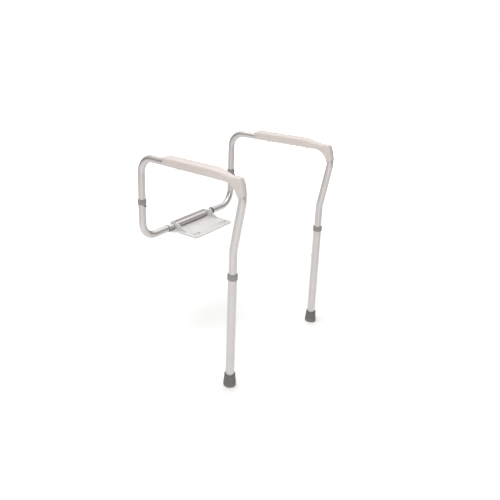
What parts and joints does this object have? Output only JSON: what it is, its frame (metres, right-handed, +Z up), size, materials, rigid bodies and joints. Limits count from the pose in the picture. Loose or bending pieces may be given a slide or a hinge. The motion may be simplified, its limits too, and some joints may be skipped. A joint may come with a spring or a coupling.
{
  "type": "toilet safety frame",
  "caption": "Toilet safety frame: a bracket under the seat carries two padded arm rails on telescopic tubes, with cranked front legs and rubber feet.",
  "frame": {"origin": "middle of the two seat bolt slots, on the underside of the bracket's rubber pad (the ceramic's surface)", "axes": "+Z up, the user faces -Y, +X is the user's left"},
  "size_m": [0.584, 0.4668, 0.737],
  "materials": {
    "tube": "satin anodised",
    "bracket": "white powder coat",
    "armrest": "off-white moulded, satin",
    "collar": "grey moulded",
    "nylon": "natural nylon",
    "foot": "matt grey rubber",
    "rubber": "matt sheet rubber",
    "steel": "zinc plated"
  },
  "bodies": {
    "base": {"mounting_bracket": "bracket", "bracket_pad": "rubber", "crossbar": "tube", "crossbar_rivets": "steel", "crossbar_glide_left": "nylon", "width_snap_clip_left": "steel", "crossbar_glide_right": "nylon", "width_snap_clip_right": "steel"},
    "rear_left": {"rear_tube_left": "tube", "rear_tube_bush_left": "collar", "rear_collar_left": "collar", "rear_lock_clip_left": "steel"},
    "lock_pin_left": {"rear_lock_pin_left": "collar"},
    "arm_left": {"arm_tube_left": "tube", "arm_insert_left": "tube", "insert_rivet_left": "steel", "armrest_left": "armrest", "armrest_screws_left": "steel", "leg_glide_left": "nylon", "front_spring_left": "steel"},
    "leg_snap_left": {"front_button_left": "steel"},
    "leg_left": {"front_leg_left": "tube", "front_collar_left": "collar", "foot_tip_left": "foot", "foot_washer_left": "steel"},
    "rear_right": {"rear_tube_right": "tube", "rear_tube_bush_right": "collar", "rear_collar_right": "collar", "rear_lock_clip_right": "steel"},
    "lock_pin_right": {"rear_lock_pin_right": "collar"},
    "arm_right": {"arm_tube_right": "tube", "arm_insert_right": "tube", "insert_rivet_right": "steel", "armrest_right": "armrest", "armrest_screws_right": "steel", "leg_glide_right": "nylon", "front_spring_right": "steel"},
    "leg_snap_right": {"front_button_right": "steel"},
    "leg_right": {"front_leg_right": "tube", "front_collar_right": "collar", "foot_tip_right": "foot", "foot_washer_right": "steel"}
  },
  "joints": [
    {"name": "width_slide_left", "type": "slide", "parent": "base", "child": "rear_left", "axis": [1, 0, 0], "range_m": [0, 0.03], "deforming": ["width_snap_clip_left"]},
    {"name": "arm_height_left", "type": "slide", "parent": "rear_left", "child": "arm_left", "axis": [0, 0, 1], "range_m": [0, 0.048]},
    {"name": "leg_length_left", "type": "slide", "parent": "arm_left", "child": "leg_left", "axis": [0, 0, -1], "range_m": [-0.05, 0.1]},
    {"name": "lock_pin_pull_left", "type": "slide", "parent": "rear_left", "child": "lock_pin_left", "axis": [0.03, -0.9995, 0], "range_m": [0, 0.0045], "stiffness_N_per_m": 900, "springref_m": -0.003},
    {"name": "leg_snap_press_left", "type": "slide", "parent": "arm_left", "child": "leg_snap_left", "axis": [0.03, -0.9995, 0], "range_m": [0, 0.0045], "stiffness_N_per_m": 900, "springref_m": -0.003, "deforming": ["front_spring_left"]},
    {"name": "width_slide_right", "type": "slide", "parent": "base", "child": "rear_right", "axis": [-1, 0, 0], "range_m": [0, 0.03], "deforming": ["width_snap_clip_right"]},
    {"name": "arm_height_right", "type": "slide", "parent": "rear_right", "child": "arm_right", "axis": [0, 0, 1], "range_m": [0, 0.048]},
    {"name": "leg_length_right", "type": "slide", "parent": "arm_right", "child": "leg_right", "axis": [0, 0, -1], "range_m": [-0.05, 0.1]},
    {"name": "lock_pin_pull_right", "type": "slide", "parent": "rear_right", "child": "lock_pin_right", "axis": [-0.03, -0.9995, 0], "range_m": [0, 0.0045], "stiffness_N_per_m": 900, "springref_m": -0.003},
    {"name": "leg_snap_press_right", "type": "slide", "parent": "arm_right", "child": "leg_snap_right", "axis": [-0.03, -0.9995, 0], "range_m": [0, 0.0045], "stiffness_N_per_m": 900, "springref_m": -0.003, "deforming": ["front_spring_right"]}
  ]
}
